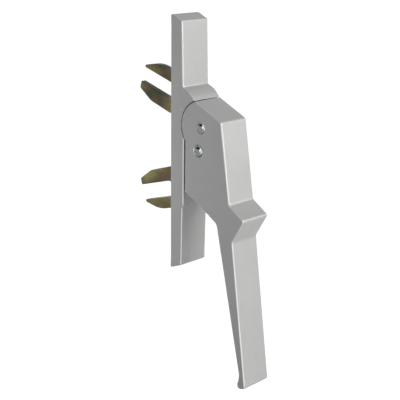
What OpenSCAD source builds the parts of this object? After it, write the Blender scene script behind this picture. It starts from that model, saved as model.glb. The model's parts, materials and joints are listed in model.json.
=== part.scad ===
// Espagnolette handle: a lever on a slim surface base drives two forks through the base's rear face.
// Frame: origin in the middle of the rear face, +Z up, the front of the handle faces -Y.
// Side outlines are written as [d, z]: d is the distance in front of the rear face, z the height.

/* [Base] */
// Length of the base from end to end
base_len = 158; // [140:1:190]
// Width of the base and of the lever
base_w = 22; // [21:0.5:26]
// Depth of the base at its middle
base_d = 10.6; // [10.2:0.1:12]
// Depth of the base at its two ends
end_d = 9; // [8.4:0.1:10]
// Length by which each slanted end face falls back at the front
end_slant = 3.4; // [1:0.1:6]
// Height of the step below which the base is shallower
step_z = 37; // [36:0.5:44]
// Depth of that step
step_d = 0.8; // [0.4:0.1:1.5]
// Clearance between the raised tongue and the lever's cheeks
tongue_gap = 0.5; // [0.3:0.1:1]
// Depth to the front of that tongue
tongue_d = 12; // [11.7:0.1:12.3]

/* [Lever] */
// Distance of the lever's pivot in front of the rear face
pivot_d = 25.1; // [24.6:0.1:25.6]
// Height of the pivot above the middle of the base
pivot_z = 14.2; // [13.8:0.1:14.6]
// Radius of the lever's round hub
hub_r = 16; // [15.4:0.1:16.4]
// Running gap between the hub and its seat in the base
hub_gap = 0.5; // [0.3:0.1:0.9]
// Height of the lever's end below the pivot
lever_drop = 157.2; // [130:1:190]
// Lean of the upper front face away from the base, degrees
upper_lean = 8.9; // [6:0.1:11]
// Lean of the grip's front face, degrees
grip_lean = 7.9; // [5:0.1:10]
// Height of the finger rest below the pivot
rest_z = 42.5; // [40:0.5:50]
// Projection of the finger rest
rest_out = 10.7; // [6:0.1:14]
// Thickness of the grip behind the finger rest
grip_root = 13.4; // [11:0.1:16]
// Thickness of the grip at its waist near the end
grip_waist = 4.3; // [3.5:0.1:7]
// Thickness of the lever's two cheeks
cheek = 3.2; // [2.8:0.1:3.4]
// Thickness of the lever's front wall
front_wall = 3; // [2:0.1:4]
// Thickness of the lever's top wall
top_wall = 2.2; // [1.8:0.1:2.4]

/* [Pins] */
// Diameter of the pivot and crank pins
pin_dia = 5; // [4:0.1:5.2]
// Diameter of the pins' round heads
head_dia = 7; // [6.4:0.1:8]
// Thickness of the pins' heads
head_t = 1.6; // [1.2:0.1:2.2]
// Distance of the crank pin behind the pivot when the lever is closed
crank_back = 2.1; // [1.6:0.1:2.6]
// Wall of the pivot bushes
bush_wall = 0.8; // [0.6:0.1:1.2]
// Radial clearance of every running fit
run_gap = 0.04; // [0.02:0.01:0.08]

/* [Forks] */
// Distance of the fork axles in front of the rear face
axle_d = 5.5; // [5.3:0.1:5.7]
// Height of each fork axle above or below the middle
axle_z = 26.7; // [26.4:0.1:27]
// Tilt of the forks away from the middle when the lever is closed, degrees
fork_tilt = 16.4; // [14:0.1:18]
// Thickness of the fork plates
fork_t = 4; // [3:0.1:4.4]
// Reach of the tines behind their axle
fork_reach = 41.9; // [36:0.1:50]
// Width of the slot between the tines
slot_w = 9.8; // [8:0.1:10.6]
// Half width of the fork's blade across its tines
blade_half = 13.6; // [12:0.1:15]
// Radius of the round hub on each axle
fork_hub_r = 5; // [4.8:0.1:5.2]
// Thickness of the spacer washers beside each fork
spacer_t = 0.8; // [0.5:0.1:1.2]
// Clearance beside plates and washers
side_gap = 0.15; // [0.1:0.05:0.3]

/* [Back plate and mounting] */
// Thickness of the steel back plate
plate_t = 1.5; // [1:0.1:2]
// Length of the back plate
plate_len = 102; // [100:1:108]
// Width of the back plate
plate_w = 16.4; // [15.5:0.1:17]
// Spacing of the two mounting threads
mount_pitch = 124; // [116:1:132]
// Tapping bore of the M5 mounting threads
mount_bore = 4.2; // [3.3:0.1:5]
// Outer diameter of the threaded inserts
insert_dia = 7; // [6:0.1:8]
// Length of the threaded inserts
insert_len = 6.5; // [5:0.1:7]

/* [Hidden] */
$fn = 64;

silver = [0.74, 0.74, 0.74];
nickel = [0.82, 0.82, 0.8];
yellow_zinc = [0.5, 0.46, 0.28];
steel = [0.6, 0.62, 0.64];
bronze = [0.66, 0.47, 0.25];
rubber = [0.12, 0.12, 0.12];
nylon = [0.9, 0.9, 0.86];
eps = 0.01;
far = 60;

// Directions and points in a side outline
function dir(a) = [cos(a), sin(a)];
function unit(v) = v / norm(v);
function turned(p, a) = [p.x * cos(a) - p.y * sin(a), p.x * sin(a) + p.y * cos(a)];
function arc(c, r, a0, a1, n = 24) = [for (i = [0:n]) c + r * dir(a0 + (a1 - a0) * i / n)];
// The point where the line through p along u meets the line through q along v
function meet(p, u, q, v) = p + u * cross(q - p, v) / cross(u, v);
function wrapped(a) = a > 180 ? a - 360 : a < -180 ? a + 360 : a;
// The corner b = [d, z, r] between a and c, rounded by an arc of radius r
function corner(a, b, c, n = 6) =
    let (p = [b.x, b.y], r = len(b) > 2 ? b.z : 0)
    r == 0 ? [p] :
    let (u = unit([a.x, a.y] - p), v = unit([c.x, c.y] - p),
         half = acos(u * v) / 2,
         m = p + unit(u + v) * r / sin(half),
         s = p + u * r / tan(half) - m,
         e = p + v * r / tan(half) - m,
         a0 = atan2(s.y, s.x),
         turn = wrapped(atan2(e.y, e.x) - a0))
    arc(m, r, a0, a0 + turn, n);
function rounded(pts) =
    let (n = len(pts))
    [for (i = [0:n - 1]) each corner(pts[(i + n - 1) % n], pts[i], pts[(i + 1) % n])];

// A side outline made a solid of width w across the handle, its middle at x
module across(w, x = 0) {
    translate([x, 0, 0]) rotate([90, 0, -90]) linear_extrude(w, center = true) children();
}
// A round bar across the handle at the point p = [d, z], from x0 to x1
module bar(p, r, x0, x1) {
    translate([x0, -p.x, p.y]) rotate([0, 90, 0]) cylinder(h = x1 - x0, r = r);
}
// The same shape on the left and the right
module both_sides() {
    for (side = [0, 1]) mirror([side, 0, 0]) children();
}

pivot = [pivot_d, pivot_z];
pin_r = pin_dia / 2;
half_w = base_w / 2;
cavity_half = half_w - cheek;
tongue_w = 2 * (cavity_half - tongue_gap);
// The crank pin lies on the middle of the base when the lever is closed
crank = [pivot_d - crank_back, 0];
open_a = 85;
crank_open = pivot + turned(crank - pivot, open_a);
seat_r = hub_r + hub_gap;
spring_t = 0.45;
spring_gauge = 0.25;
washer_t = 0.6;
washer_gap = 0.3;
lug_half = cavity_half - side_gap - spring_t - side_gap - washer_t;
slot_half = fork_t / 2 + spacer_t + 2 * side_gap;
upper_axle = [axle_d, axle_z];
lower_axle = [axle_d, -axle_z];
axle_half = slot_half + 4;
bush_r = pin_r + bush_wall;

// Base
lip_a = 110;
lip = pivot + seat_r * dir(lip_a);
wedge_z = lip.y + 6.7;
crest = lip + [-2.75, 4.5];
wedge_foot = [base_d - 0.4, wedge_z];
crest_half = acos(unit(lip - crest) * unit(wedge_foot - crest)) / 2;
crest_r = min(13.5, 0.97 * norm(lip - crest) * tan(crest_half));
wedge_crest = concat(crest, crest_r);
lug_boss_r = bush_r + 2.8;
spring_r = lug_boss_r - 0.6;
front_low = base_d - step_d;
seat_end_a = 180 + acos((pivot_d - base_d) / seat_r);

module base_outline() {
    polygon(rounded(concat(
        [[0, -base_len / 2, 0.6], [0, base_len / 2, 0.6], [end_d, base_len / 2 - end_slant, 1.2],
         concat(wedge_foot, 1.5), wedge_crest],
        [for (p = arc(pivot, seat_r, lip_a, seat_end_a)) [p.x, p.y, 0]],
        [[base_d, -step_z, 0.3], [front_low, -step_z - 0.6, 0.6],
         [end_d, -base_len / 2 + end_slant, 1.2]])));
}
// The two goosenecks that carry the pivot grow out of the tongue
module lug_outline() {
    polygon(rounded([
        [base_d - 3, 6, 0], [base_d + 0.1, 6, 0], pivot + [-6, -1], pivot + [-1, -6.2],
        pivot + [-6.9, -12.4, 5], [tongue_d + 1.2, -10, 6], [tongue_d, -16, 3],
        [tongue_d, -step_z + 8, 0], [base_d - 3, -step_z + 8, 0]]));
    translate(pivot) circle(lug_boss_r);
}
// Space swept by the two fork plates inside the base
plate_end = 4.5;
space_half = plate_len / 2 - plate_end;
fork_room = 0.4;
module fork_space() {
    polygon([[-1, -space_half], [3, -space_half], [3, -axle_z - 13], [axle_d + 2.2, -axle_z - 7],
             [axle_d + 2.2, -axle_z], [axle_d + 5.2, -axle_z + 1], [far, -axle_z + 3.6],
             [far, axle_z - 2.6], [axle_d + 4, axle_z - 2.6], [axle_d + 2.2, axle_z],
             [axle_d + 2.2, axle_z + 7], [3, axle_z + 13], [3, space_half], [-1, space_half]]);
    for (a = [upper_axle, lower_axle]) translate(a) circle(fork_hub_r + fork_room);
}
screw_x = (plate_w / 2 + slot_half) / 2;
screw_z = 38;
screw_r = 1.25;
screw_gap = 0.15;
screw_head_r = min(2.4, (plate_w / 2 - slot_half) / 2 - screw_gap);
screw_len = 7;
screw_sunk = 0.1;
tab_half = pin_r - 0.2;
tab_t = 1.5;
tab_gap = 0.05;
plate_gap = 0.1;
module at_screws() {
    for (x = [-1, 1], z = [-1, 1]) translate([x * screw_x, 0, z * screw_z])
        rotate([90, 0, 0]) children();
}
module at_inserts() {
    for (z = [-1, 1]) translate([0, 0, z * mount_pitch / 2]) rotate([90, 0, 0]) children();
}
buffer_r = 1.6;
buffer_sunk = 1;
buffer_proud = 0.6;
buffer_x = tongue_w / 2 - buffer_r - 0.6;
buffer_z = -25.6;
module at_buffers() {
    for (x = [-1, 1]) translate([x * buffer_x, -tongue_d + buffer_sunk, buffer_z])
        rotate([90, 0, 0]) children();
}
pocket_wall = 2.4;
boss_wall = 1.8;
pocket_end = base_len / 2 - end_slant - pocket_wall;
pocket_start = plate_len / 2 + plate_gap + boss_wall;
pocket_d = end_d - 2.2;
module end_pockets() {
    for (z = [-1, 1]) difference() {
        translate([-half_w + pocket_wall, -pocket_d, z > 0 ? pocket_start : -pocket_end])
            cube([base_w - 2 * pocket_wall, pocket_d + 1, pocket_end - pocket_start]);
        translate([0, 1, z * mount_pitch / 2]) rotate([90, 0, 0])
            cylinder(h = far, r = insert_dia / 2 + boss_wall);
    }
}
module base_housing() color(silver) difference() {
    union() {
        intersection() {
            across(base_w) base_outline();
            translate([0, 1, 0]) rotate([90, 0, 0]) linear_extrude(far)
                polygon(rounded([for (c = [[-1, -1], [1, -1], [1, 1], [-1, 1]])
                    [c.x * half_w, c.y * base_len / 2, 1]]));
        }
        across(2 * lug_half) lug_outline();
        across(tongue_w) polygon(rounded([[base_d - 3, -step_z + 0.6, 0], [tongue_d, -step_z + 0.6, 0.8],
            [tongue_d, -14, 0.8], [base_d - 3, -12, 0]]));
    }
    across(2 * slot_half) fork_space();
    for (a = [upper_axle, lower_axle]) {
        bar(a, pin_r, -axle_half, axle_half);
        translate([-axle_half, -axle_d, a.y - pin_r]) cube([2 * axle_half, axle_d + 1, pin_dia]);
    }
    both_sides() bar(pivot, bush_r, slot_half - 1, lug_half + 1);
    translate([-plate_w / 2 - plate_gap, -plate_t, -plate_len / 2 - plate_gap])
        cube([plate_w + 2 * plate_gap, plate_t + 1, plate_len + 2 * plate_gap]);
    at_screws() cylinder(h = screw_len + 0.5, r = screw_r);
    at_inserts() translate([0, 0, -1]) cylinder(h = insert_len + 1, r = insert_dia / 2);
    at_buffers() cylinder(h = buffer_sunk + 1, r = buffer_r);
    end_pockets();
}

// The back plate closes the mechanism's slot and keeps both axles in their seats
module back_plate() color(steel) difference() {
    union() {
        difference() {
            rotate([90, 0, 0]) linear_extrude(plate_t)
                polygon(rounded([for (c = [[-1, -1], [1, -1], [1, 1], [-1, 1]])
                    [c.x * plate_w / 2, c.y * plate_len / 2, 1.5]]));
            translate([-slot_half, -far / 2, -space_half]) cube([2 * slot_half, far, 2 * space_half]);
        }
        both_sides() for (a = [upper_axle, lower_axle])
            translate([slot_half, -axle_d + pin_r + tab_gap, a.y - tab_half])
                cube([tab_t, axle_d - pin_r - tab_gap, 2 * tab_half]);
    }
    at_screws() {
        translate([0, 0, -1]) cylinder(h = far, r = screw_r + screw_gap);
        translate([0, 0, -eps]) cylinder(h = screw_head_r - screw_r, r1 = screw_head_r, r2 = screw_r);
    }
}
module back_plate_screws() color(steel) at_screws() {
    translate([0, 0, screw_sunk]) cylinder(h = screw_len - screw_sunk, r = screw_r);
    translate([0, 0, screw_sunk])
        cylinder(h = screw_head_r - screw_r - screw_sunk, r1 = screw_head_r - 2 * screw_sunk, r2 = screw_r);
}
module mounting_inserts() color(bronze) at_inserts() difference() {
    cylinder(h = insert_len, r = insert_dia / 2);
    translate([0, 0, -1]) cylinder(h = insert_len + 2, r = mount_bore / 2);
}
module stop_buffers() color(rubber) at_buffers() cylinder(h = buffer_sunk + buffer_proud, r = buffer_r);

// Pivot bearings
module ring(p, r_in, r_out, x0, x1) {
    difference() {
        bar(p, r_out, x0, x1);
        bar(p, r_in, x0 - 1, x1 + 1);
    }
}
module pivot_bushes() color(bronze) both_sides() ring(pivot, pin_r + run_gap, bush_r, slot_half, lug_half);
module thrust_washers() color(nylon) both_sides()
    ring(pivot, pin_r + washer_gap, lug_boss_r - 0.2, lug_half, lug_half + washer_t);
module friction_springs() color(steel) both_sides() translate([cavity_half, -pivot_d, pivot_z])
    rotate([0, -90, 0]) rotate_extrude() polygon([
        [pin_r, 0], [spring_r, spring_t - spring_gauge], [spring_r, spring_t], [pin_r, spring_gauge]]);

// Lever outline, from the pivot
top_a = 107.8;
top_end = hub_r * dir(top_a);
top_corner = [16.1, 5.7];
top_dir = unit(top_corner - top_end);
top_normal = [-top_dir.y, top_dir.x];
upper_dir = dir(-90 + upper_lean);
grip_dir = dir(-90 + grip_lean);
rest_start = meet(top_corner, upper_dir, [0, -rest_z], [1, 0]);
rest_tip = rest_start + [rest_out + 1.1, -7.4];
rest_end = rest_start + [3, -22.2];
grip_end = meet(rest_end, grip_dir, [0, -lever_drop + 1.6], [1, 0]);
knee = rest_end + [-grip_root, 8.4];
waist_front = meet(rest_end, grip_dir, [0, -lever_drop + 9.5], [1, 0]);
waist = waist_front - [grip_waist, 0];
back_edge = base_d + 1.4 - pivot_d;
back_a = 180 + acos(-back_edge / hub_r);
heel = [back_edge, -rest_z + 0.9];

module lever_outline() {
    translate(pivot) polygon(rounded(concat(
        [for (p = arc([0, 0], hub_r, back_a, top_a)) [p.x, p.y, 0]],
        [[top_corner.x, top_corner.y, 2.2], [rest_start.x, rest_start.y, 2.5],
         [rest_tip.x, rest_tip.y, 1.8], [rest_end.x, rest_end.y, 4],
         [grip_end.x, grip_end.y, 2.2], [waist.x - 1.2, -lever_drop, 1.8],
         [waist.x - 1.1, -lever_drop + 3.4, 1.2], [waist.x, waist.y, 5],
         [knee.x, knee.y, 4], [heel.x + 13, heel.y - 6.6, 20], [heel.x, heel.y, 1.5]])));
}
// Hollow between the cheeks, open towards the base
web_z = -38.2;
web_t = 3.4;
stop_d = tongue_d + buffer_proud + 0.2 - pivot_d;
inner_top = top_end - top_wall * top_normal;
inner_front = top_corner - front_wall * [cos(upper_lean), sin(upper_lean)];
inner_corner = meet(inner_top, top_dir, inner_front, upper_dir);
inner_foot = meet(inner_front, upper_dir, [0, web_z], [1, 0]);
pocket_top = meet(inner_front, upper_dir, [0, web_z - web_t], [1, 0]);
module lever_hollow() {
    translate(pivot) polygon(rounded([
        concat(inner_top - 15 * top_dir, 0), concat(inner_corner, 2), concat(inner_foot, 4),
        [stop_d, web_z, 0], [stop_d, web_z - 8, 0], [-far / 2, web_z - 8, 0], [-far / 2, 20, 0]]));
}
// Cored pocket behind the finger rest, open at the back
module lever_pocket() {
    translate(pivot) polygon(rounded([
        [stop_d + 4, web_z - web_t, 1], [pocket_top.x, pocket_top.y, 3],
        [rest_end.x - 6.5, rest_end.y + 12, 4], [knee.x + 3.2, knee.y + 3, 0],
        [knee.x - 4, knee.y - 6, 0], [stop_d + 4, heel.y - 10, 0]]));
}
module lever() color(silver) difference() {
    across(base_w) lever_outline();
    across(2 * cavity_half) lever_hollow();
    across(2 * cavity_half) lever_pocket();
    for (p = [pivot, crank]) {
        bar(p, pin_r, -far, far);
        both_sides() bar(p, head_dia / 2, half_w - head_t - head_sunk, half_w + 1);
    }
}
// A shouldered pin with dimpled heads, sunk a little below the cheeks
head_sunk = 0.2;
dimple_r = 2.8;
dimple_out = 1.6;
module cheek_pin(p) {
    difference() {
        union() {
            bar(p, pin_r, -half_w + 1, half_w - 1);
            both_sides() bar(p, head_dia / 2, half_w - head_t - head_sunk, half_w - head_sunk);
        }
        both_sides() translate([half_w + dimple_out, -p.x, p.y]) sphere(r = dimple_r);
    }
}
sleeve_wall = 0.9;
module pivot_pin() color(nickel) cheek_pin(pivot);
module crank_pin() color(nickel) cheek_pin(crank);
module crank_sleeves() color(steel) both_sides()
    ring(crank, pin_r, pin_r + sleeve_wall, fork_t / 2 + side_gap, cavity_half);

// Fork plates, drawn about their axle with the tines level and pointing back
nose_r = 3;
notch_slope = 16;
notch_gap = 0.35;
drive_gap = 0.35;
drive_wall = 2.2;
drive_lag = 0.2;
to_crank = crank - upper_axle;
drive_a = atan2(to_crank.y, to_crank.x) + fork_tilt - drive_lag;
drive_near = norm(to_crank) - 0.2;
drive_far = norm(crank_open - upper_axle) + 0.8;
mesh_r = axle_z;
notch_lip = 2.9;
module blade() {
    difference() {
        polygon(rounded([
            [1, 4.6, 2], [-12, blade_half - 1.2, 6], [-fork_reach + 12.4, blade_half - 1.3, 24],
            [-fork_reach + 0.8, slot_w / 2 + 1.7, 1], [-fork_reach + 1, 0, 0],
            [-fork_reach, 0, 0], [-fork_reach, -slot_w / 2 - 4.4, 1.6],
            [-fork_reach + 11.4, -blade_half + 0.2, 13], [-12, -blade_half - 0.2, 5], [1, -4.6, 2]]));
        translate([-fork_reach - 1, -slot_w / 2]) square([fork_reach - 16, slot_w]);
        translate([-17, 0]) circle(slot_w / 2);
    }
    circle(fork_hub_r);
}
// A stadium from r0 to r1 along the direction a
module along(a, r0, r1, half) {
    rotate(a) {
        translate([r0, -half]) square([r1 - r0, 2 * half]);
        translate([r0, 0]) circle(half);
        translate([r1, 0]) circle(half);
    }
}
// The upper fork's bent arm: round the lever's hub, over the lower fork's nose, to the crank pin
module drive_arm() {
    difference() {
        union() {
            polygon(rounded([
                [-4.6, -1, 0], [-6.4, -14, 8], [-5.6, -mesh_r - notch_lip, 1], [8, -mesh_r - notch_lip, 2],
                [10, -27.4, 4], [26, -26, 0], [24, -20.4, 0], [-0.9, -20.4, 1.2], [-0.9, -15.5, 4],
                [4.6, -1, 0]]));
            along(drive_a, drive_near, drive_far, pin_r + drive_gap + drive_wall);
        }
        along(drive_a, drive_near, drive_far, pin_r + drive_gap);
        notch();
    }
}
module notch() {
    spread = tan(notch_slope);
    half = nose_r + notch_gap;
    translate([0, -mesh_r]) {
        polygon([[-half, 0], [half, 0], [half + 6 * spread, -6], [-half - 6 * spread, -6]]);
        circle(half);
    }
}
// The lower fork's straight leg ends in a round nose; drawn upside down
module nose_leg() {
    polygon(rounded([[-4.6, -1, 0], [-3, -14, 8], [-1.8, -mesh_r + 4, 4], [-1.8, -mesh_r, 0],
        [1.8, -mesh_r, 0], [1.8, -mesh_r + 4, 4], [3, -14, 8], [4.6, -1, 0]]));
    translate([0, -mesh_r]) circle(nose_r);
}
module fork_at(a, side) {
    translate([0, -a.x, a.y]) mirror([0, 0, side < 0 ? 1 : 0]) rotate([fork_tilt, 0, 0])
        across(fork_t) children();
}
module upper_fork() color(yellow_zinc) difference() {
    union() {
        fork_at(upper_axle, 1) blade();
        fork_at(upper_axle, 1) drive_arm();
    }
    bar(upper_axle, bush_r, -far, far);
}
module lower_fork() color(yellow_zinc) difference() {
    union() {
        fork_at(lower_axle, -1) blade();
        fork_at(lower_axle, -1) nose_leg();
    }
    bar(lower_axle, bush_r, -far, far);
}
module fork_bush(a) color(bronze) ring(a, pin_r + run_gap, bush_r, -fork_t / 2, fork_t / 2);
module upper_fork_bush() fork_bush(upper_axle);
module lower_fork_bush() fork_bush(lower_axle);
module fork_axle(a) color(steel) bar(a, pin_r, -axle_half, axle_half);
module upper_fork_axle() fork_axle(upper_axle);
module lower_fork_axle() fork_axle(lower_axle);
spacer_r = fork_hub_r - 0.3;
module fork_spacers(a) color(steel) both_sides()
    ring(a, pin_r, spacer_r, fork_t / 2 + side_gap, fork_t / 2 + side_gap + spacer_t);
module upper_fork_spacers() fork_spacers(upper_axle);
module lower_fork_spacers() fork_spacers(lower_axle);

base_housing();
back_plate();
back_plate_screws();
mounting_inserts();
stop_buffers();
pivot_bushes();
thrust_washers();
upper_fork_axle();
lower_fork_axle();
upper_fork_spacers();
lower_fork_spacers();
lever();
pivot_pin();
crank_pin();
crank_sleeves();
friction_springs();
upper_fork();
upper_fork_bush();
lower_fork();
lower_fork_bush();
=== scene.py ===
import json
import math

import bmesh
import bpy
from mathutils import Matrix, Vector


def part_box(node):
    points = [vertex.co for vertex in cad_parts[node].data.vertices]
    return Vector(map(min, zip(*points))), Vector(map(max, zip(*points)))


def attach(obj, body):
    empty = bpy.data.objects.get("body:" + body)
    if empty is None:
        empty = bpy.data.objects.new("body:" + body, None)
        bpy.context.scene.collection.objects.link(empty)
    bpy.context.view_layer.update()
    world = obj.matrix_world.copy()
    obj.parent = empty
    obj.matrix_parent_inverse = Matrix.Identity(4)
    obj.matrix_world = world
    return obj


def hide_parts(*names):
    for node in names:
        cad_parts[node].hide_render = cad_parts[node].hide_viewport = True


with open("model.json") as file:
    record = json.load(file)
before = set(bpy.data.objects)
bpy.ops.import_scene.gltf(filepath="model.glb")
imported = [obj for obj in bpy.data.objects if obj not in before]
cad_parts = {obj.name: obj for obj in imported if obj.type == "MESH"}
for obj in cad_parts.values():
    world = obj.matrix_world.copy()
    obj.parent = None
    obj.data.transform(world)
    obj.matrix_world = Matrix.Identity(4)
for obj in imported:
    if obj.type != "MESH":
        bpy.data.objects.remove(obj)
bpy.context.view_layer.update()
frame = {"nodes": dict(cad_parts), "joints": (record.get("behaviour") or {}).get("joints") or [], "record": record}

bl_info = {
    "name": "Espagnolette handle",
    "version": (1, 0, 0),
    "blender": (4, 5, 0),
    "location": "View3D > Sidebar > Handle",
    "description": "Dresses the packed espagnolette handle and sets its stage",
    "category": "Object",
}

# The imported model
RECORD = frame["record"]
JOINTS = {joint["name"]: joint for joint in frame["joints"]}
PIVOT = Vector(JOINTS["lever_swing"]["pos_m"])
BASE_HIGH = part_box("base_housing")[1]
LEVER_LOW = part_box("lever")[0]
HALF_WIDTH = BASE_HIGH.x
MM = 0.001

# Copies of the solids
WELD_REACH = 0.004 * MM
NEEDLE_LENGTH = 0.002 * MM
FLAT_ANGLE = math.radians(0.3)
FLAT_WEIGHT = 60
ON_AXIS = 1e-9

# Rounded rims: the width eases along a rim, and a long edge gets a stop near each end
SIDE_SLACK = 0.02 * MM
EASE_PASSES = 60
EASE_SLOPE = 0.6
EDGE_LOSS = 0.7
LEAST_MITER = 0.2
RIM_STOP = 1.6 * MM
LONG_EDGE = 3 * RIM_STOP
CASTING_STEPS = 3
PLATE_STEPS = 2

# Walls that already run smoothly into a side face
SMOOTH_LEAN = 0.5
SMOOTH_SHARE = 0.02
SMOOTH_STOP = 6 * MM

# Rims that take only a share of the rounding
REAR_BAND, REAR_SHARE = 0.3 * MM, 0.25
SEAT_RADIUS, SEAT_SLACK, SEAT_SHARE = 16.5 * MM, 0.1 * MM, 0.06
HUB_RADIUS, HUB_SLACK, HUB_SHARE = 16.0 * MM, 0.06 * MM, 0.5
BORE_REACH, BORE_SHARE = 4 * MM, 0.2

# Pins, screws and inserts
PIN_SHANK = 2.5 * MM
PIN_HEAD = 1.6 * MM
PIN_TURN, DISH_STEPS, PIN_RIM_STEPS = 40, 10, 5
SCREW_SHANK, SCREW_HEAD, SCREW_TURN = 1.25 * MM, 2.2 * MM, 24
SOCKET_DEPTH, SOCKET_TAPER, SOCKET_EDGE, SOCKET_FLARE = 0.9 * MM, 0.97, 0.05 * MM, 0.06 * MM
SCREW_CHAMFER = 0.1 * MM
THREAD_DEPTH, THREAD_LEAD, THREAD_RIDGE = 0.36 * MM, 0.35 * MM, 0.4
INSERT_TURN, HELIX_STEPS, RIDGE_SIDES = 40, 24, 6

# Finishes
# A mark on each rounded rim that runs from 1 on the wall to 0 on the side face.
RIM_TOWARD_WALL = "rim_toward_wall"
# The next two hold the painted highlight: a mark that peaks at the middle of each rounded rim, and how much paler
# the paint is made there.
RIM_PAINTED_HIGHLIGHT = "rim_painted_highlight"
PAINTED_HIGHLIGHT_PALER = 1.3
FILM_STRETCH = (1, 1, 2.2)
FILM_SHIFT = (0.11, 0.37, 0.23)
BRUSHED = (1, 1, 0.2)
WHITE = (1, 1, 1)
FINISH_OF_SLOT = {
    "silver_paint": "satin_silver_paint",
    "plated_steel": "clear_zinc_plate",
    "yellow_zinc": "yellow_zinc_plate",
    "nickel": "bright_nickel",
    "bronze": "sintered_bronze",
    "brass": "turned_brass",
    "black_rubber": "black_rubber",
    "white_nylon": "white_nylon",
}

# Stage: the floor mirrors dark round one place, and the rest of the studio mirrors pale
FLOOR_HALF = 30.0
FLOOR_DROP = 0.9
FLOOR_SEEN = 0.95
DARK_PLACE = (-0.6, 0.6)
DARK_LEVEL = 0.01
DARK_REACH, PALE_REACH = 0.7, 1.1
SURROUND = 0.08
MIRRORED = 0.65
WARM, COOL = (1.0, 1.0, 0.975), (0.97, 0.97, 1.0)
LAMP_AIM = Vector((0, -0.03, -0.02))
LAMPS = (
    ("key_softbox", (0.45, -1.65, 0.62), (1.5, 1.2), 33.0, WARM),
    ("low_softbox", (-0.95, -1.15, -0.36), (1.5, 0.9), 8.8, WARM),
    ("back_softbox", (0.6, 1.4, 0.4), (0.9, 0.9), 4.8, COOL),
    ("left_strip", (-0.47, 1.05, -0.33), (0.22, 0.4), 1.8, COOL),
)
CAMERA_PLACE = (-0.4242, -0.4239, 0.1367)
CAMERA_ANGLES = (46.02, 16.16, 0.61)
CAMERA_LENS = 89.58


# Mesh helpers

def centre_of(node):
    """The middle of a node's box."""
    low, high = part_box(node)
    return (low + high) / 2


def merged(node):
    """A welded copy of a node's mesh with its flat faces made whole."""
    bm = bmesh.new()
    bm.from_mesh(frame["nodes"][node].data)
    bmesh.ops.remove_doubles(bm, verts=bm.verts, dist=WELD_REACH)
    bmesh.ops.dissolve_degenerate(bm, edges=bm.edges, dist=NEEDLE_LENGTH)
    bmesh.ops.dissolve_limit(
        bm, angle_limit=FLAT_ANGLE, verts=bm.verts, edges=bm.edges, delimit={"NORMAL"}
    )
    bm.normal_update()
    return bm


def object_from(bm, name):
    """A new object in the scene with the mesh, which is freed."""
    mesh = bpy.data.meshes.new(name)
    bm.to_mesh(mesh)
    bm.free()
    piece = bpy.data.objects.new(name, mesh)
    bpy.context.scene.collection.objects.link(piece)
    return piece


def made_plain(piece):
    """The piece with its modifiers turned into a plain mesh."""
    bpy.context.view_layer.update()
    graph = bpy.context.evaluated_depsgraph_get()
    mesh = bpy.data.meshes.new_from_object(piece.evaluated_get(graph))
    old = piece.data
    piece.modifiers.clear()
    piece.data = mesh
    mesh.name = piece.name
    bpy.data.meshes.remove(old)
    if not mesh.polygons:
        raise RuntimeError(piece.name + " has no faces")
    return piece


def shade(piece, angle=32.0):
    """Smooth shading that stays sharp over edges steeper than the angle, in degrees."""
    piece.data.shade_smooth()
    piece.data.set_sharp_from_angle(angle=math.radians(angle))


def circle(steps, start=0.0):
    """The angles of a circle's points, with the first one at a share of a step."""
    return [2 * math.pi * (i + start) / steps for i in range(steps)]


def join_rings(bm, rings):
    """Adds the walls between each ring of points and the next."""
    for first, second in zip(rings, rings[1:]):
        for i in range(len(first)):
            j = (i + 1) % len(first)
            bm.faces.new((first[i], first[j], second[j], second[i]))


def lathe(profile, steps, name):
    """A closed solid turned about X from (x, radius) points that start and end on the axis."""
    bm = bmesh.new()
    rings = []
    for x, radius in profile:
        if radius < ON_AXIS:
            rings.append([bm.verts.new((x, 0, 0))])
            continue
        rings.append([
            bm.verts.new((x, radius * math.cos(a), radius * math.sin(a))) for a in circle(steps)
        ])
    for first, second in zip(rings, rings[1:]):
        for i in range(steps):
            j = (i + 1) % steps
            corners = [first[i % len(first)], first[j % len(first)],
                       second[j % len(second)], second[i % len(second)]]
            corners = list(dict.fromkeys(corners))
            if len(corners) > 2:
                bm.faces.new(corners)
    bmesh.ops.recalc_face_normals(bm, faces=bm.faces)
    return object_from(bm, name)


def set_material(piece, material):
    """Gives a piece one material."""
    piece.data.materials.clear()
    piece.data.materials.append(material)


def dress_node(node, material):
    """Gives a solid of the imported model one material."""
    piece = frame["nodes"][node]
    for slot in piece.material_slots:
        slot.material = material
    if not piece.material_slots:
        piece.data.materials.append(material)


# Rounded rims

def is_smooth(wall):
    """Whether a wall runs into the side face without a corner."""
    return abs(wall.normal.x) > SMOOTH_LEAN


def rim_of(bm, half):
    """The flat side faces at x = half or -half, and the edges between them and the walls."""
    def on_side(face):
        return any(
            all(abs(vert.co.x - place) < SIDE_SLACK for vert in face.verts)
            for place in (half, -half)
        )

    sides = {face for face in bm.faces if on_side(face)}
    rim = []
    for edge in bm.edges:
        inner = [face for face in edge.link_faces if face in sides]
        outer = [face for face in edge.link_faces if face not in sides]
        if len(inner) == 1 and len(outer) == 1:
            rim.append((edge, inner[0], outer[0]))
    return sides, rim


def stop_rims(bm, half):
    """Adds a corner near the ends of long rim edges, so that a narrow end leaves the rest wide."""
    rim = rim_of(bm, half)[1]
    smooth = {vert for edge, _, wall in rim if is_smooth(wall) for vert in edge.verts}
    for edge, _, _ in rim:
        if edge.calc_length() < LONG_EDGE:
            continue
        rest = edge
        for end in list(edge.verts):
            reach = SMOOTH_STOP if end in smooth else RIM_STOP
            if reach + RIM_STOP < rest.calc_length():
                _, stop = bmesh.utils.edge_split(rest, end, reach / rest.calc_length())
                rest = next(part for part in stop.link_edges if end not in part.verts)


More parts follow.
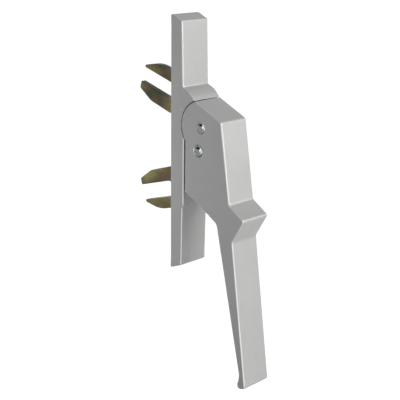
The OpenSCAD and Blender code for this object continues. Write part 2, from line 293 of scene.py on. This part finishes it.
def walls_at_corners(rim, name):
    """The two walls that meet at each rim corner."""
    walls = {}
    for edge, _, wall in rim:
        for vert in edge.verts:
            walls.setdefault(vert, []).append(wall)
    if any(len(found) != 2 for found in walls.values()):
        raise RuntimeError(name + " has a rim that is not a closed loop")
    return walls


def slide_of(walls):
    """The way a rim corner slides into the side face, so that both its edges move alike."""
    first, second = (Vector((0, *wall.normal.yz)) for wall in walls)
    return -(first + second) / max(LEAST_MITER, 1 + first.dot(second))


def eased_widths(rim, slide, width, share):
    """The rounding's width at each rim corner.

    It is less on tight corners and changes slowly along the rim. Where a wall already runs
    smoothly into the side face there is next to none.
    """
    widths = {}
    for edge, _, wall in rim:
        part = SMOOTH_SHARE if is_smooth(wall) else share(edge)
        for vert in edge.verts:
            widths[vert] = min(widths.get(vert, width), width * part)
    for _ in range(EASE_PASSES):
        for edge, _, _ in rim:
            a, b = edge.verts
            span = b.co - a.co
            long = span.length
            lost = span.dot(slide[a] * widths[a] - slide[b] * widths[b]) / long
            if lost > EDGE_LOSS * long:
                widths[a] *= EDGE_LOSS * long / lost
                widths[b] *= EDGE_LOSS * long / lost
            widths[a] = min(widths[a], widths[b] + EASE_SLOPE * long)
            widths[b] = min(widths[b], widths[a] + EASE_SLOPE * long)
    return widths


def add_rings(made, slide, widths, steps):
    """Adds the points that round each rim corner off, from its wall to its side face."""
    toward_wall, shine = (made.verts.layers.float[key] for key in (RIM_TOWARD_WALL, RIM_PAINTED_HIGHLIGHT))
    turns = [math.pi / 2 * i / steps for i in range(steps + 1)]
    rings = {}
    for vert, width in widths.items():
        out = math.copysign(1.0, vert.co.x)
        rings[vert] = [
            made.verts.new(vert.co + slide[vert] * width * (1 - math.cos(turn))
                           - Vector((out * width * (1 - math.sin(turn)), 0, 0)))
            for turn in turns
        ]
        for corner, turn in zip(rings[vert], turns):
            # This mark runs from 1 on the wall to 0 on the side face.
            corner[toward_wall] = math.cos(turn)
            # This mark peaks at the middle of the rounding and carries the paint's painted highlight.
            corner[shine] = math.sin(2 * turn)
    return rings


def rounded_copy(node, name, half, width, share, steps):
    """A copy of a node with the rims of its two flat sides rounded off.

    share gives the part of the width that a rim edge takes.
    """
    bm = merged(node)
    stop_rims(bm, half)
    sides, rim = rim_of(bm, half)
    slide = {vert: slide_of(walls) for vert, walls in walls_at_corners(rim, name).items()}
    widths = eased_widths(rim, slide, width, share)
    made = bmesh.new()
    for key in (RIM_TOWARD_WALL, RIM_PAINTED_HIGHLIGHT):
        made.verts.layers.float.new(key)
    plain = {vert: made.verts.new(vert.co) for vert in bm.verts if vert not in slide}
    rings = add_rings(made, slide, widths, steps)
    for face in bm.faces:
        place = -1 if face in sides else 0
        made.faces.new([
            rings[vert][place] if vert in rings else plain[vert] for vert in face.verts
        ])
    for edge, side, _ in rim:
        loop = next(loop for loop in edge.link_loops if loop.face == side)
        a, b = rings[loop.vert], rings[loop.link_loop_next.vert]
        for k in range(steps):
            made.faces.new((b[k + 1], a[k + 1], a[k], b[k]))
    bm.free()
    piece = object_from(made, name)
    shade(piece)
    weighted = piece.modifiers.new("Flat faces", "WEIGHTED_NORMAL")
    weighted.keep_sharp = True
    weighted.weight = FLAT_WEIGHT
    return made_plain(piece)


# Node helpers

def node_in(tree, kind, **values):
    """A new node with its settings."""
    made = tree.nodes.new(kind)
    for key, value in values.items():
        setattr(made, key, value)
    return made


def fill(node, **values):
    """Sets a node's inputs by their names, with _ for a space."""
    for key, value in values.items():
        node.inputs[key.replace("_", " ")].default_value = value


def wire(tree, *pairs):
    """Links each pair of an output and an input."""
    for source, target in pairs:
        tree.links.new(source, target)


def new_material(name):
    """A new material with its tree and its shader."""
    material = bpy.data.materials.new(name)
    material.use_nodes = True
    tree = material.node_tree
    return material, tree, tree.nodes["Principled BSDF"]


def noise(tree, scale, detail, rough, stretch=(1, 1, 1), shift=(0, 0, 0), swirl=0.0):
    """Noise on Object coordinates."""
    place = node_in(tree, "ShaderNodeTexCoord")
    mapping = node_in(tree, "ShaderNodeMapping")
    fill(mapping, Scale=stretch, Location=shift)
    made = node_in(tree, "ShaderNodeTexNoise")
    fill(made, Scale=scale, Detail=detail, Roughness=rough, Distortion=swirl)
    wire(tree, (place.outputs["Object"], mapping.inputs["Vector"]),
         (mapping.outputs["Vector"], made.inputs["Vector"]))
    return made.outputs["Fac"]


def attribute(tree, name):
    """A number that the mesh carries at its points."""
    return node_in(tree, "ShaderNodeAttribute", attribute_name=name).outputs["Fac"]


def ramp(tree, source, stops):
    """A colour picked from (place, colour) stops by the source."""
    made = node_in(tree, "ShaderNodeValToRGB")
    points = made.color_ramp.elements
    while len(points) < len(stops):
        points.new(0.5)
    for point, (place, colour) in zip(points, stops):
        point.position = place
        point.color = (*colour, 1)
    wire(tree, (source, made.inputs["Fac"]))
    return made.outputs["Color"]


def spread(tree, source, low, high):
    """The source, from 0 to 1, spread from low to high."""
    made = node_in(tree, "ShaderNodeMapRange")
    fill(made, To_Min=low, To_Max=high)
    wire(tree, (source, made.inputs["Value"]))
    return made.outputs["Result"]


def multiplied(tree, first, second):
    """The product of two colours."""
    mix = node_in(tree, "ShaderNodeMix", data_type="RGBA", blend_type="MULTIPLY")
    mix.inputs["Factor"].default_value = 1.0
    wire(tree, (first, mix.inputs["A"]), (second, mix.inputs["B"]))
    return mix.outputs["Result"]


def bump(tree, shader, source, strength, distance):
    """Raises the surface by the source."""
    made = node_in(tree, "ShaderNodeBump")
    fill(made, Strength=strength, Distance=distance)
    wire(tree, (source, made.inputs["Height"]), (made.outputs["Normal"], shader.inputs["Normal"]))


def tinted(colour, factor):
    """A colour made lighter or darker."""
    return tuple(min(1.0, channel * factor) for channel in colour)


def clouded(tree, source, colour, dark, light):
    """A colour that drifts from darker to lighter with the source."""
    return ramp(tree, source, [(0.3, tinted(colour, dark)), (0.7, tinted(colour, light))])


# Finishes

def satin_paint(name, colour):
    """Satin silver paint: an even coat with fine flake and slight cloudiness, with a painted highlight of paler
    paint along each rounded rim.
    """
    material, tree, shader = new_material(name)
    cloud = noise(tree, 45, 4, 0.55)
    flake = noise(tree, 2600, 2, 0.6)
    speck = ramp(tree, flake, [(0.3, (0.93, 0.93, 0.94)), (0.7, WHITE)])
    coat = multiplied(tree, clouded(tree, cloud, colour, 0.97, 1.03), speck)
    # Painted highlight: the paint colour is made paler along the middle of each rounded rim.
    painted_highlight = node_in(tree, "ShaderNodeMix", data_type="RGBA")
    painted_highlight.inputs["B"].default_value = (*tinted(colour, PAINTED_HIGHLIGHT_PALER), 1)
    wire(tree, (attribute(tree, RIM_PAINTED_HIGHLIGHT), painted_highlight.inputs["Factor"]), (coat, painted_highlight.inputs["A"]),
         (painted_highlight.outputs["Result"], shader.inputs["Base Color"]),
         (spread(tree, flake, 0.3, 0.42), shader.inputs["Roughness"]))
    fill(shader, Metallic=0.35)
    bump(tree, shader, flake, 0.18, 0.02 * MM)
    return material


def turned_metal(name, colour, roughness, scale=900, stretch=(1, 1, 1)):
    """Bare or plated metal with fine tool marks and uneven gloss."""
    material, tree, shader = new_material(name)
    marks = noise(tree, scale, 4, 0.6, stretch)
    cloud = noise(tree, 160, 3, 0.5)
    gloss = spread(tree, marks, roughness * 0.7, roughness * 1.3)
    wire(tree, (clouded(tree, cloud, colour, 0.88, 1.06), shader.inputs["Base Color"]),
         (gloss, shader.inputs["Roughness"]))
    fill(shader, Metallic=1.0)
    bump(tree, shader, marks, 0.12, 0.01 * MM)
    return material


def passivated_zinc(name, green, brown, olive, straw, violet):
    """Yellow passivated zinc: a film whose colours drift along the plate, darker on its rims."""
    material, tree, shader = new_material(name)
    drift = noise(tree, 30, 2, 0.4, FILM_STRETCH, FILM_SHIFT, 0.5)
    film = noise(tree, 900, 3, 0.6)
    hue = ramp(tree, drift, [
        (0.3, green), (0.42, brown), (0.5, olive), (0.62, straw), (0.76, violet),
    ])
    dust = ramp(tree, film, [(0.3, (0.86, 0.86, 0.86)), (0.7, WHITE)])
    # The plate's edges are made darker: the colour is halved on the edge walls and eases back to full across the
    # rounding onto the flat faces.
    dark = ramp(tree, attribute(tree, RIM_TOWARD_WALL), [(0.0, WHITE), (1.0, (0.5, 0.54, 0.48))])
    coat = multiplied(tree, multiplied(tree, hue, dust), dark)
    wire(tree, (coat, shader.inputs["Base Color"]),
         (spread(tree, film, 0.22, 0.38), shader.inputs["Roughness"]))
    fill(shader, Metallic=0.85)
    bump(tree, shader, film, 0.08, 0.01 * MM)
    return material


def moulded(name, colour, roughness):
    """Moulded rubber or nylon with a fine matt grain."""
    material, tree, shader = new_material(name)
    grain = noise(tree, 1400, 3, 0.6)
    gloss = spread(tree, grain, roughness - 0.08, roughness + 0.08)
    wire(tree, (clouded(tree, grain, colour, 0.9, 1.08), shader.inputs["Base Color"]),
         (gloss, shader.inputs["Roughness"]))
    bump(tree, shader, grain, 0.2, 0.02 * MM)
    return material


def finish_named(name):
    """A finish by its name, made once."""
    found = bpy.data.materials.get(name)
    if found:
        return found
    look = bpy.context.scene.handle_finish
    makers = {
        "satin_silver_paint": lambda: satin_paint(name, look.silver),
        "bright_nickel": lambda: turned_metal(name, look.nickel, 0.12),
        "yellow_zinc_plate": lambda: passivated_zinc(
            name, look.green, look.brown, look.olive, look.straw, look.violet
        ),
        "clear_zinc_plate": lambda: turned_metal(name, look.steel, 0.34, 500, BRUSHED),
        "sintered_bronze": lambda: turned_metal(name, look.bronze, 0.42),
        "turned_brass": lambda: turned_metal(name, look.brass, 0.24),
        "black_rubber": lambda: moulded(name, look.rubber, 0.7),
        "white_nylon": lambda: moulded(name, look.nylon, 0.5),
    }
    if name not in makers:
        raise RuntimeError("there is no finish named " + name)
    return makers[name]()


# Geometry Nodes

ROW_SOCKETS = [
    ("Start", "NodeSocketVector"), ("Step", "NodeSocketVector"), ("Count", "NodeSocketInt"),
]


def new_tree(name, sockets):
    """A new tree with named inputs, a material among them, and its two end nodes."""
    tree = bpy.data.node_groups.new(name, "GeometryNodeTree")
    face = tree.interface
    face.new_socket("Geometry", in_out="INPUT", socket_type="NodeSocketGeometry")
    for label, kind in [*sockets, ("Material", "NodeSocketMaterial")]:
        face.new_socket(label, in_out="INPUT", socket_type=kind)
    face.new_socket("Geometry", in_out="OUTPUT", socket_type="NodeSocketGeometry")
    return tree, node_in(tree, "NodeGroupInput"), node_in(tree, "NodeGroupOutput")


def end_tree(tree, given, out, points, geometry):
    """Ends a tree in real copies of the geometry at the points, with the material."""
    copies = node_in(tree, "GeometryNodeInstanceOnPoints")
    real = node_in(tree, "GeometryNodeRealizeInstances")
    coat = node_in(tree, "GeometryNodeSetMaterial")
    wire(tree, (points, copies.inputs["Points"]), (geometry, copies.inputs["Instance"]),
         (copies.outputs["Instances"], real.inputs["Geometry"]),
         (real.outputs["Geometry"], coat.inputs["Geometry"]),
         (given.outputs["Material"], coat.inputs["Material"]),
         (coat.outputs["Geometry"], out.inputs["Geometry"]))


def row_points(tree, given):
    """The points of a row."""
    line = node_in(tree, "GeometryNodeMeshLine", mode="OFFSET")
    wire(tree, (given.outputs["Start"], line.inputs["Start Location"]),
         (given.outputs["Step"], line.inputs["Offset"]),
         (given.outputs["Count"], line.inputs["Count"]))
    return line.outputs["Mesh"]


def run_tree(piece, tree, values):
    """Runs a tree on a piece with its named inputs set and makes the result a plain mesh."""
    modifier = piece.modifiers.new(tree.name, "NODES")
    modifier.node_group = tree
    for item in tree.interface.items_tree:
        if item.item_type == "SOCKET" and item.in_out == "INPUT" and item.name in values:
            modifier[item.identifier] = values[item.name]
    made_plain(piece)


def row_tree(name):
    """Copies the piece to the points of a row."""
    tree, given, out = new_tree(name, ROW_SOCKETS)
    end_tree(tree, given, out, row_points(tree, given), given.outputs["Geometry"])
    return tree


def corner_tree(name):
    """Copies the piece to the four corners of an upright rectangle."""
    tree, given, out = new_tree(name, [
        ("Width", "NodeSocketFloat"), ("Height", "NodeSocketFloat"),
    ])
    grid = node_in(tree, "GeometryNodeMeshGrid")
    fill(grid, Vertices_X=2, Vertices_Y=2)
    stand = node_in(tree, "GeometryNodeTransform")
    fill(stand, Rotation=(math.pi / 2, 0, 0))
    wire(tree, (given.outputs["Width"], grid.inputs["Size X"]),
         (given.outputs["Height"], grid.inputs["Size Y"]),
         (grid.outputs["Mesh"], stand.inputs["Geometry"]))
    end_tree(tree, given, out, stand.outputs["Geometry"], given.outputs["Geometry"])
    return tree


def thread_tree(name):
    """Adds a helical ridge to a sleeve and copies both to the points of a row."""
    tree, given, out = new_tree(name, [
        ("Radius", "NodeSocketFloat"), ("Ridge", "NodeSocketFloat"),
        ("Turns", "NodeSocketFloat"), ("Length", "NodeSocketFloat"), *ROW_SOCKETS,
    ])
    helix = node_in(tree, "GeometryNodeCurveSpiral")
    fill(helix, Resolution=HELIX_STEPS)
    section = node_in(tree, "GeometryNodeCurvePrimitiveCircle", mode="RADIUS")
    fill(section, Resolution=RIDGE_SIDES)
    sweep = node_in(tree, "GeometryNodeCurveToMesh")
    fill(sweep, Fill_Caps=True)
    lay = node_in(tree, "GeometryNodeTransform")
    fill(lay, Rotation=(math.pi / 2, 0, 0))
    join = node_in(tree, "GeometryNodeJoinGeometry")
    wire(tree, (given.outputs["Radius"], helix.inputs["Start Radius"]),
         (given.outputs["Radius"], helix.inputs["End Radius"]),
         (given.outputs["Turns"], helix.inputs["Rotations"]),
         (given.outputs["Length"], helix.inputs["Height"]),
         (given.outputs["Ridge"], section.inputs["Radius"]),
         (helix.outputs["Curve"], sweep.inputs["Curve"]),
         (section.outputs["Curve"], sweep.inputs["Profile Curve"]),
         (sweep.outputs["Mesh"], lay.inputs["Geometry"]),
         (given.outputs["Geometry"], join.inputs["Geometry"]),
         (lay.outputs["Geometry"], join.inputs["Geometry"]))
    end_tree(tree, given, out, row_points(tree, given), join.outputs["Geometry"])
    return tree


# Settings

def length_setting(name, text, value):
    return bpy.props.FloatProperty(
        name=name, description=text, default=value, min=0.0, unit="LENGTH", precision=5
    )


def colour_setting(name, text, value):
    return bpy.props.FloatVectorProperty(
        name=name, description=text, default=value, size=3, min=0.0, max=1.0, subtype="COLOR"
    )


class HandleSizes(bpy.types.PropertyGroup):
    """Sizes of what is added to the solids."""

    cast_round: length_setting(
        "Cast edge", "Rounding of the outer edges of the base and lever", 1.0 * MM)
    fork_round: length_setting("Fork edge", "Rounding of the stamped forks' edges", 0.35 * MM)
    rim_round: length_setting("Pin rim", "Rounding of the pin heads' rims", 0.35 * MM)
    dimple: length_setting("Pin dimple", "Depth of the dimple in each pin head", 0.8 * MM)
    dimple_rim: length_setting("Dimple rim", "Radius of the dimple's rim", 2.5 * MM)
    key: length_setting(
        "Screw key", "Width across the flats of the plate screws' hexagon", 2.0 * MM)
    pitch: length_setting("Thread pitch", "Pitch of the mounting threads", 0.8 * MM)


class HandleFinish(bpy.types.PropertyGroup):
    """Colours of the finishes."""

    silver: colour_setting(
        "Silver paint", "Satin paint on the base and lever", (0.47, 0.47, 0.47))
    nickel: colour_setting("Nickel", "Bright plate on the pins", (0.36, 0.38, 0.375))
    green: colour_setting(
        "Green", "Darkest colour of the passivated zinc", (0.05, 0.066, 0.034))
    brown: colour_setting("Brown", "Brown of the passivated zinc", (0.125, 0.088, 0.054))
    olive: colour_setting("Olive", "Main colour of the passivated zinc", (0.155, 0.136, 0.064))
    straw: colour_setting(
        "Straw", "Lightest colour of the passivated zinc", (0.265, 0.24, 0.098))
    violet: colour_setting(
        "Violet", "Greyish violet of the passivated zinc", (0.145, 0.122, 0.11))
    steel: colour_setting("Steel", "Clear zinc plate on inner steel pieces", (0.55, 0.57, 0.59))
    bronze: colour_setting("Bronze", "Sintered bushes", (0.45, 0.28, 0.13))
    brass: colour_setting("Brass", "Threaded inserts", (0.62, 0.46, 0.2))
    rubber: colour_setting("Rubber", "Stop buffers", (0.02, 0.02, 0.022))
    nylon: colour_setting("Nylon", "Thrust washers", (0.75, 0.75, 0.7))
    floor: colour_setting("Floor", "Pale studio floor", (0.92, 0.92, 0.92))


# Operators

def off_pivot(edge):
    """How far an edge's middle lies from the pivot's axis."""
    middle = (edge.verts[0].co + edge.verts[1].co) / 2
    return math.hypot(middle.y - PIVOT.y, middle.z - PIVOT.z)


class HANDLE_OT_base(bpy.types.Operator):
    """Rounds the outer edges of the painted base"""

    bl_idname = "handle.base"
    bl_label = "Base"

    def execute(self, context):
        sizes = context.scene.handle_sizes

        def share(edge):
            if max(vert.co.y for vert in edge.verts) > BASE_HIGH.y - REAR_BAND:
                return REAR_SHARE
            return SEAT_SHARE if abs(off_pivot(edge) - SEAT_RADIUS) < SEAT_SLACK else 1.0

        piece = rounded_copy(
            "base_housing", "base_casting", HALF_WIDTH, sizes.cast_round, share, CASTING_STEPS
        )
        set_material(piece, finish_named("satin_silver_paint"))
        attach(piece, "base")
        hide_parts("base_housing")
        return {"FINISHED"}


class HANDLE_OT_lever(bpy.types.Operator):
    """Rounds the outer edges of the painted lever"""

    bl_idname = "handle.lever"
    bl_label = "Lever"

    def execute(self, context):
        sizes = context.scene.handle_sizes

        def share(edge):
            reach = off_pivot(edge)
            if reach < BORE_REACH:
                return BORE_SHARE
            return HUB_SHARE if abs(reach - HUB_RADIUS) < HUB_SLACK else 1.0

        piece = rounded_copy(
            "lever", "lever_casting", HALF_WIDTH, sizes.cast_round, share, CASTING_STEPS
        )
        set_material(piece, finish_named("satin_silver_paint"))
        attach(piece, "lever")
        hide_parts("lever")
        return {"FINISHED"}


class HANDLE_OT_forks(bpy.types.Operator):
    """Rounds the stamped edges of the two fork plates"""

    bl_idname = "handle.forks"
    bl_label = "Forks"

    def execute(self, context):
        sizes = context.scene.handle_sizes
        for node in ("upper_fork", "lower_fork"):
            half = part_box(node)[1].x
            piece = rounded_copy(
                node, node + "_plate", half, sizes.fork_round, lambda edge: 1.0, PLATE_STEPS
            )
            set_material(piece, finish_named("yellow_zinc_plate"))
            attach(piece, node)
            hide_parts(node)
        return {"FINISHED"}


class HANDLE_OT_pins(bpy.types.Operator):
    """Turns the pivot and crank pins with rounded rims and dimpled heads"""

    bl_idname = "handle.pins"
    bl_label = "Pins"

    def execute(self, context):
        sizes = context.scene.handle_sizes
        low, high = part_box("pivot_pin")
        face = high.x
        head = (high.z - low.z) / 2
        deep, rim = sizes.dimple, sizes.rim_round
        dish = (sizes.dimple_rim ** 2 + deep ** 2) / (2 * deep)
        swing = math.asin(sizes.dimple_rim / dish)
        tilts = [swing * i / DISH_STEPS for i in range(DISH_STEPS + 1)]
        turns = [math.pi / 2 * i / PIN_RIM_STEPS for i in range(PIN_RIM_STEPS + 1)]
        half = [(face - deep + dish * (1 - math.cos(a)), dish * math.sin(a)) for a in tilts]
        half += [(face - rim + rim * math.cos(a), head - rim + rim * math.sin(a)) for a in turns]
        half += [(face - PIN_HEAD, head), (face - PIN_HEAD, PIN_SHANK)]
        profile = half + [(-x, radius) for x, radius in reversed(half)]
        piece = lathe(profile, PIN_TURN, "lever_pins")
        start, end = centre_of("pivot_pin"), centre_of("crank_pin")
        run_tree(piece, row_tree("Pins in a row"), {
            "Start": start, "Step": end - start, "Count": 2,
            "Material": finish_named("bright_nickel"),
        })
        shade(piece, 40)
        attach(piece, "lever")
        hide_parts("pivot_pin", "crank_pin")
        return {"FINISHED"}


class HANDLE_OT_screws(bpy.types.Operator):
    """Makes the back plate's countersunk screws with hexagon sockets"""

    bl_idname = "handle.screws"
    bl_label = "Back plate screws"

    def execute(self, context):
        sizes = context.scene.handle_sizes
        low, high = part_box("back_plate_screws")
        top, tip = high.y, low.y
        bm = bmesh.new()

        def hexagon(angle):
            sector = (angle + math.pi / 6) % (math.pi / 3) - math.pi / 6
            return sizes.key / 2 / math.cos(sector)

        def ring(y, radius):
            return [
                bm.verts.new((radius(a) * math.cos(a), y, radius(a) * math.sin(a)))
                for a in circle(SCREW_TURN, 0.5)
            ]

        rings = [
            ring(top - SOCKET_DEPTH, lambda a: hexagon(a) * SOCKET_TAPER),
            ring(top - SOCKET_EDGE, hexagon),
            ring(top, lambda a: hexagon(a) + SOCKET_FLARE),
            ring(top, lambda a: SCREW_HEAD - SCREW_CHAMFER),
            ring(top - SCREW_CHAMFER, lambda a: SCREW_HEAD),
            ring(top - (SCREW_HEAD - SCREW_SHANK), lambda a: SCREW_SHANK),
            ring(tip, lambda a: SCREW_SHANK),
        ]
        join_rings(bm, rings)
        bm.faces.new(rings[0])
        bm.faces.new(rings[-1])
        bmesh.ops.recalc_face_normals(bm, faces=bm.faces)
        piece = object_from(bm, "plate_screws")
        run_tree(piece, corner_tree("Screws at the corners"), {
            "Width": high.x - low.x - 2 * SCREW_HEAD,
            "Height": high.z - low.z - 2 * SCREW_HEAD,
            "Material": finish_named("clear_zinc_plate"),
        })
        shade(piece, 30)
        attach(piece, "base")
        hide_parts("back_plate_screws")
        return {"FINISHED"}


class HANDLE_OT_inserts(bpy.types.Operator):
    """Makes the mounting inserts with their internal threads"""

    bl_idname = "handle.inserts"
    bl_label = "Mounting inserts"

    def execute(self, context):
        sizes = context.scene.handle_sizes
        low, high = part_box("mounting_inserts")
        dims = RECORD["mounts"][0]["dims"]
        spacing = dims["spacing_y_mm"] * MM
        bore = dims["hole_r_mm"] * MM
        outer = high.x
        deep = high.y - low.y
        root = bore + THREAD_DEPTH
        outline = [
            (outer, 0.0), (outer, -deep), (root, -deep), (root, -THREAD_LEAD),
            (root + THREAD_LEAD, 0.0),
        ]
        bm = bmesh.new()
        rings = [
            [bm.verts.new((r * math.cos(a), y, r * math.sin(a))) for a in circle(INSERT_TURN)]
            for r, y in outline
        ]
        join_rings(bm, rings + rings[:1])
        bmesh.ops.recalc_face_normals(bm, faces=bm.faces)
        piece = object_from(bm, "threaded_inserts")
        ridge = sizes.pitch * THREAD_RIDGE
        run = deep - 2 * ridge - THREAD_LEAD
        run_tree(piece, thread_tree("Threads in a row"), {
            "Radius": bore + ridge, "Ridge": ridge, "Turns": run / sizes.pitch, "Length": run,
            "Start": Vector((0, high.y, -spacing / 2)), "Step": Vector((0, 0, spacing)),
            "Count": 2, "Material": finish_named("turned_brass"),
        })
        shade(piece, 40)
        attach(piece, "base")
        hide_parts("mounting_inserts")
        return {"FINISHED"}


class HANDLE_OT_inner(bpy.types.Operator):
    """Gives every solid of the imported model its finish"""

    bl_idname = "handle.inner"
    bl_label = "Inner pieces"

    def execute(self, context):
        for row in RECORD["subparts"]:
            dress_node(row["node"], finish_named(FINISH_OF_SLOT[row["material_slot"]]))
        return {"FINISHED"}


class HANDLE_OT_stage(bpy.types.Operator):
    """Sets the floor, the soft lights and the camera"""

    bl_idname = "handle.stage"
    bl_label = "Stage"

    def execute(self, context):
        scene = context.scene
        scene.view_settings.view_transform = "Standard"
        self.add_floor(scene)
        self.add_world(scene)
        for lamp in LAMPS:
            self.add_lamp(scene, *lamp)
        self.add_camera(scene)
        return {"FINISHED"}

    def add_floor(self, scene):
        """A pale floor that is white to the camera and has a dark place in mirrors."""
        half, depth = FLOOR_HALF, LEVER_LOW.z - FLOOR_DROP
        corners = [(-half, -half), (half, -half), (half, half), (-half, half)]
        mesh = bpy.data.meshes.new("studio_floor")
        mesh.from_pydata([(x, y, depth) for x, y in corners], [], [(0, 1, 2, 3)])
        floor = bpy.data.objects.new("studio_floor", mesh)
        scene.collection.objects.link(floor)
        material, tree, shader = new_material("pale_floor")
        tint = clouded(tree, noise(tree, 3.0, 2, 0.5), scene.handle_finish.floor, 0.99, 1.0)
        fill(shader, Roughness=0.9)
        path = node_in(tree, "ShaderNodeLightPath")
        place = node_in(tree, "ShaderNodeTexCoord")
        reach = node_in(tree, "ShaderNodeVectorMath", operation="DISTANCE")
        reach.inputs[1].default_value = (*DARK_PLACE, depth)
        mirrored = spread(tree, reach.outputs["Value"], DARK_LEVEL, MIRRORED)
        fill(mirrored.node, From_Min=DARK_REACH, From_Max=PALE_REACH)
        seen = spread(tree, path.outputs["Is Camera Ray"], 0.0, FLOOR_SEEN)
        white, dim = (node_in(tree, "ShaderNodeEmission") for _ in range(2))
        lit = node_in(tree, "ShaderNodeAddShader")
        either = node_in(tree, "ShaderNodeMixShader")
        wire(tree, (tint, shader.inputs["Base Color"]),
             (place.outputs["Object"], reach.inputs[0]),
             (seen, white.inputs["Strength"]),
             (mirrored, dim.inputs["Strength"]),
             (shader.outputs["BSDF"], lit.inputs[0]),
             (white.outputs["Emission"], lit.inputs[1]),
             (path.outputs["Is Glossy Ray"], either.inputs["Fac"]),
             (lit.outputs["Shader"], either.inputs[1]),
             (dim.outputs["Emission"], either.inputs[2]),
             (either.outputs["Shader"], tree.nodes["Material Output"].inputs["Surface"]))
        set_material(floor, material)

    def add_world(self, scene):
        """A white background that lights the object only a little and mirrors pale."""
        world = bpy.data.worlds.new("white_studio")
        world.use_nodes = True
        tree = world.node_tree
        back = tree.nodes["Background"]
        back.inputs["Color"].default_value = (*WHITE, 1)
        path = node_in(tree, "ShaderNodeLightPath")
        shine = spread(tree, path.outputs["Is Glossy Ray"], SURROUND, MIRRORED)
        seen = spread(tree, path.outputs["Is Camera Ray"], 0.0, 1.0)
        wire(tree, (shine, seen.node.inputs["To Min"]), (seen, back.inputs["Strength"]))
        scene.world = world

    def add_lamp(self, scene, name, place, size, power, tint):
        """A soft lamp turned to the handle."""
        lamp = bpy.data.lights.new(name, "AREA")
        lamp.shape = "RECTANGLE"
        lamp.size, lamp.size_y = size
        lamp.energy = power
        lamp.color = tint
        holder = bpy.data.objects.new(name, lamp)
        holder.location = place
        aim = LAMP_AIM - Vector(place)
        holder.rotation_euler = aim.to_track_quat("-Z", "Y").to_euler()
        holder.visible_camera = False
        scene.collection.objects.link(holder)

    def add_camera(self, scene):
        """The camera at the photograph's place, with its yaw, pitch and roll in degrees."""
        yaw, pitch, roll = (math.radians(angle) for angle in CAMERA_ANGLES)
        forward = Vector((
            math.cos(pitch) * math.sin(yaw), math.cos(pitch) * math.cos(yaw), -math.sin(pitch)
        ))
        level = Vector((math.cos(yaw), -math.sin(yaw), 0))
        rise = level.cross(forward)
        right = math.cos(roll) * level + math.sin(roll) * rise
        up = math.cos(roll) * rise - math.sin(roll) * level
        camera = bpy.data.cameras.new("photo_camera")
        camera.sensor_width = 36
        camera.lens = CAMERA_LENS
        camera.clip_start = 0.01
        camera.clip_end = 100
        camera.dof.use_dof = False
        holder = bpy.data.objects.new("photo_camera", camera)
        turn = Matrix((right, up, -forward)).transposed()
        holder.matrix_world = Matrix.Translation(CAMERA_PLACE) @ turn.to_4x4()
        scene.collection.objects.link(holder)
        scene.camera = holder


class HANDLE_PT_panel(bpy.types.Panel):
    """Lists the steps and the settings of the handle"""

    bl_idname = "HANDLE_PT_panel"
    bl_label = "Espagnolette handle"
    bl_space_type = "VIEW_3D"
    bl_region_type = "UI"
    bl_category = "Handle"

    def draw(self, context):
        layout = self.layout
        for step in STEPS:
            layout.operator(step.bl_idname)
        for group in (context.scene.handle_sizes, context.scene.handle_finish):
            box = layout.box()
            for key in group.bl_rna.properties.keys():
                if key not in ("name", "rna_type"):
                    box.prop(group, key)


STEPS = (
    HANDLE_OT_stage, HANDLE_OT_inner, HANDLE_OT_base, HANDLE_OT_lever, HANDLE_OT_forks,
    HANDLE_OT_pins, HANDLE_OT_screws, HANDLE_OT_inserts,
)
CLASSES = (HandleSizes, HandleFinish, *STEPS, HANDLE_PT_panel)


def register():
    for kind in CLASSES:
        bpy.utils.register_class(kind)
    bpy.types.Scene.handle_sizes = bpy.props.PointerProperty(type=HandleSizes)
    bpy.types.Scene.handle_finish = bpy.props.PointerProperty(type=HandleFinish)


def unregister():
    del bpy.types.Scene.handle_finish
    del bpy.types.Scene.handle_sizes
    for kind in reversed(CLASSES):
        bpy.utils.unregister_class(kind)


def main():
    register()
    bpy.ops.handle.stage()
    bpy.ops.handle.inner()
    bpy.ops.handle.base()
    bpy.ops.handle.lever()
    bpy.ops.handle.forks()
    bpy.ops.handle.pins()
    bpy.ops.handle.screws()
    bpy.ops.handle.inserts()


if __name__ == "__main__":
    main()
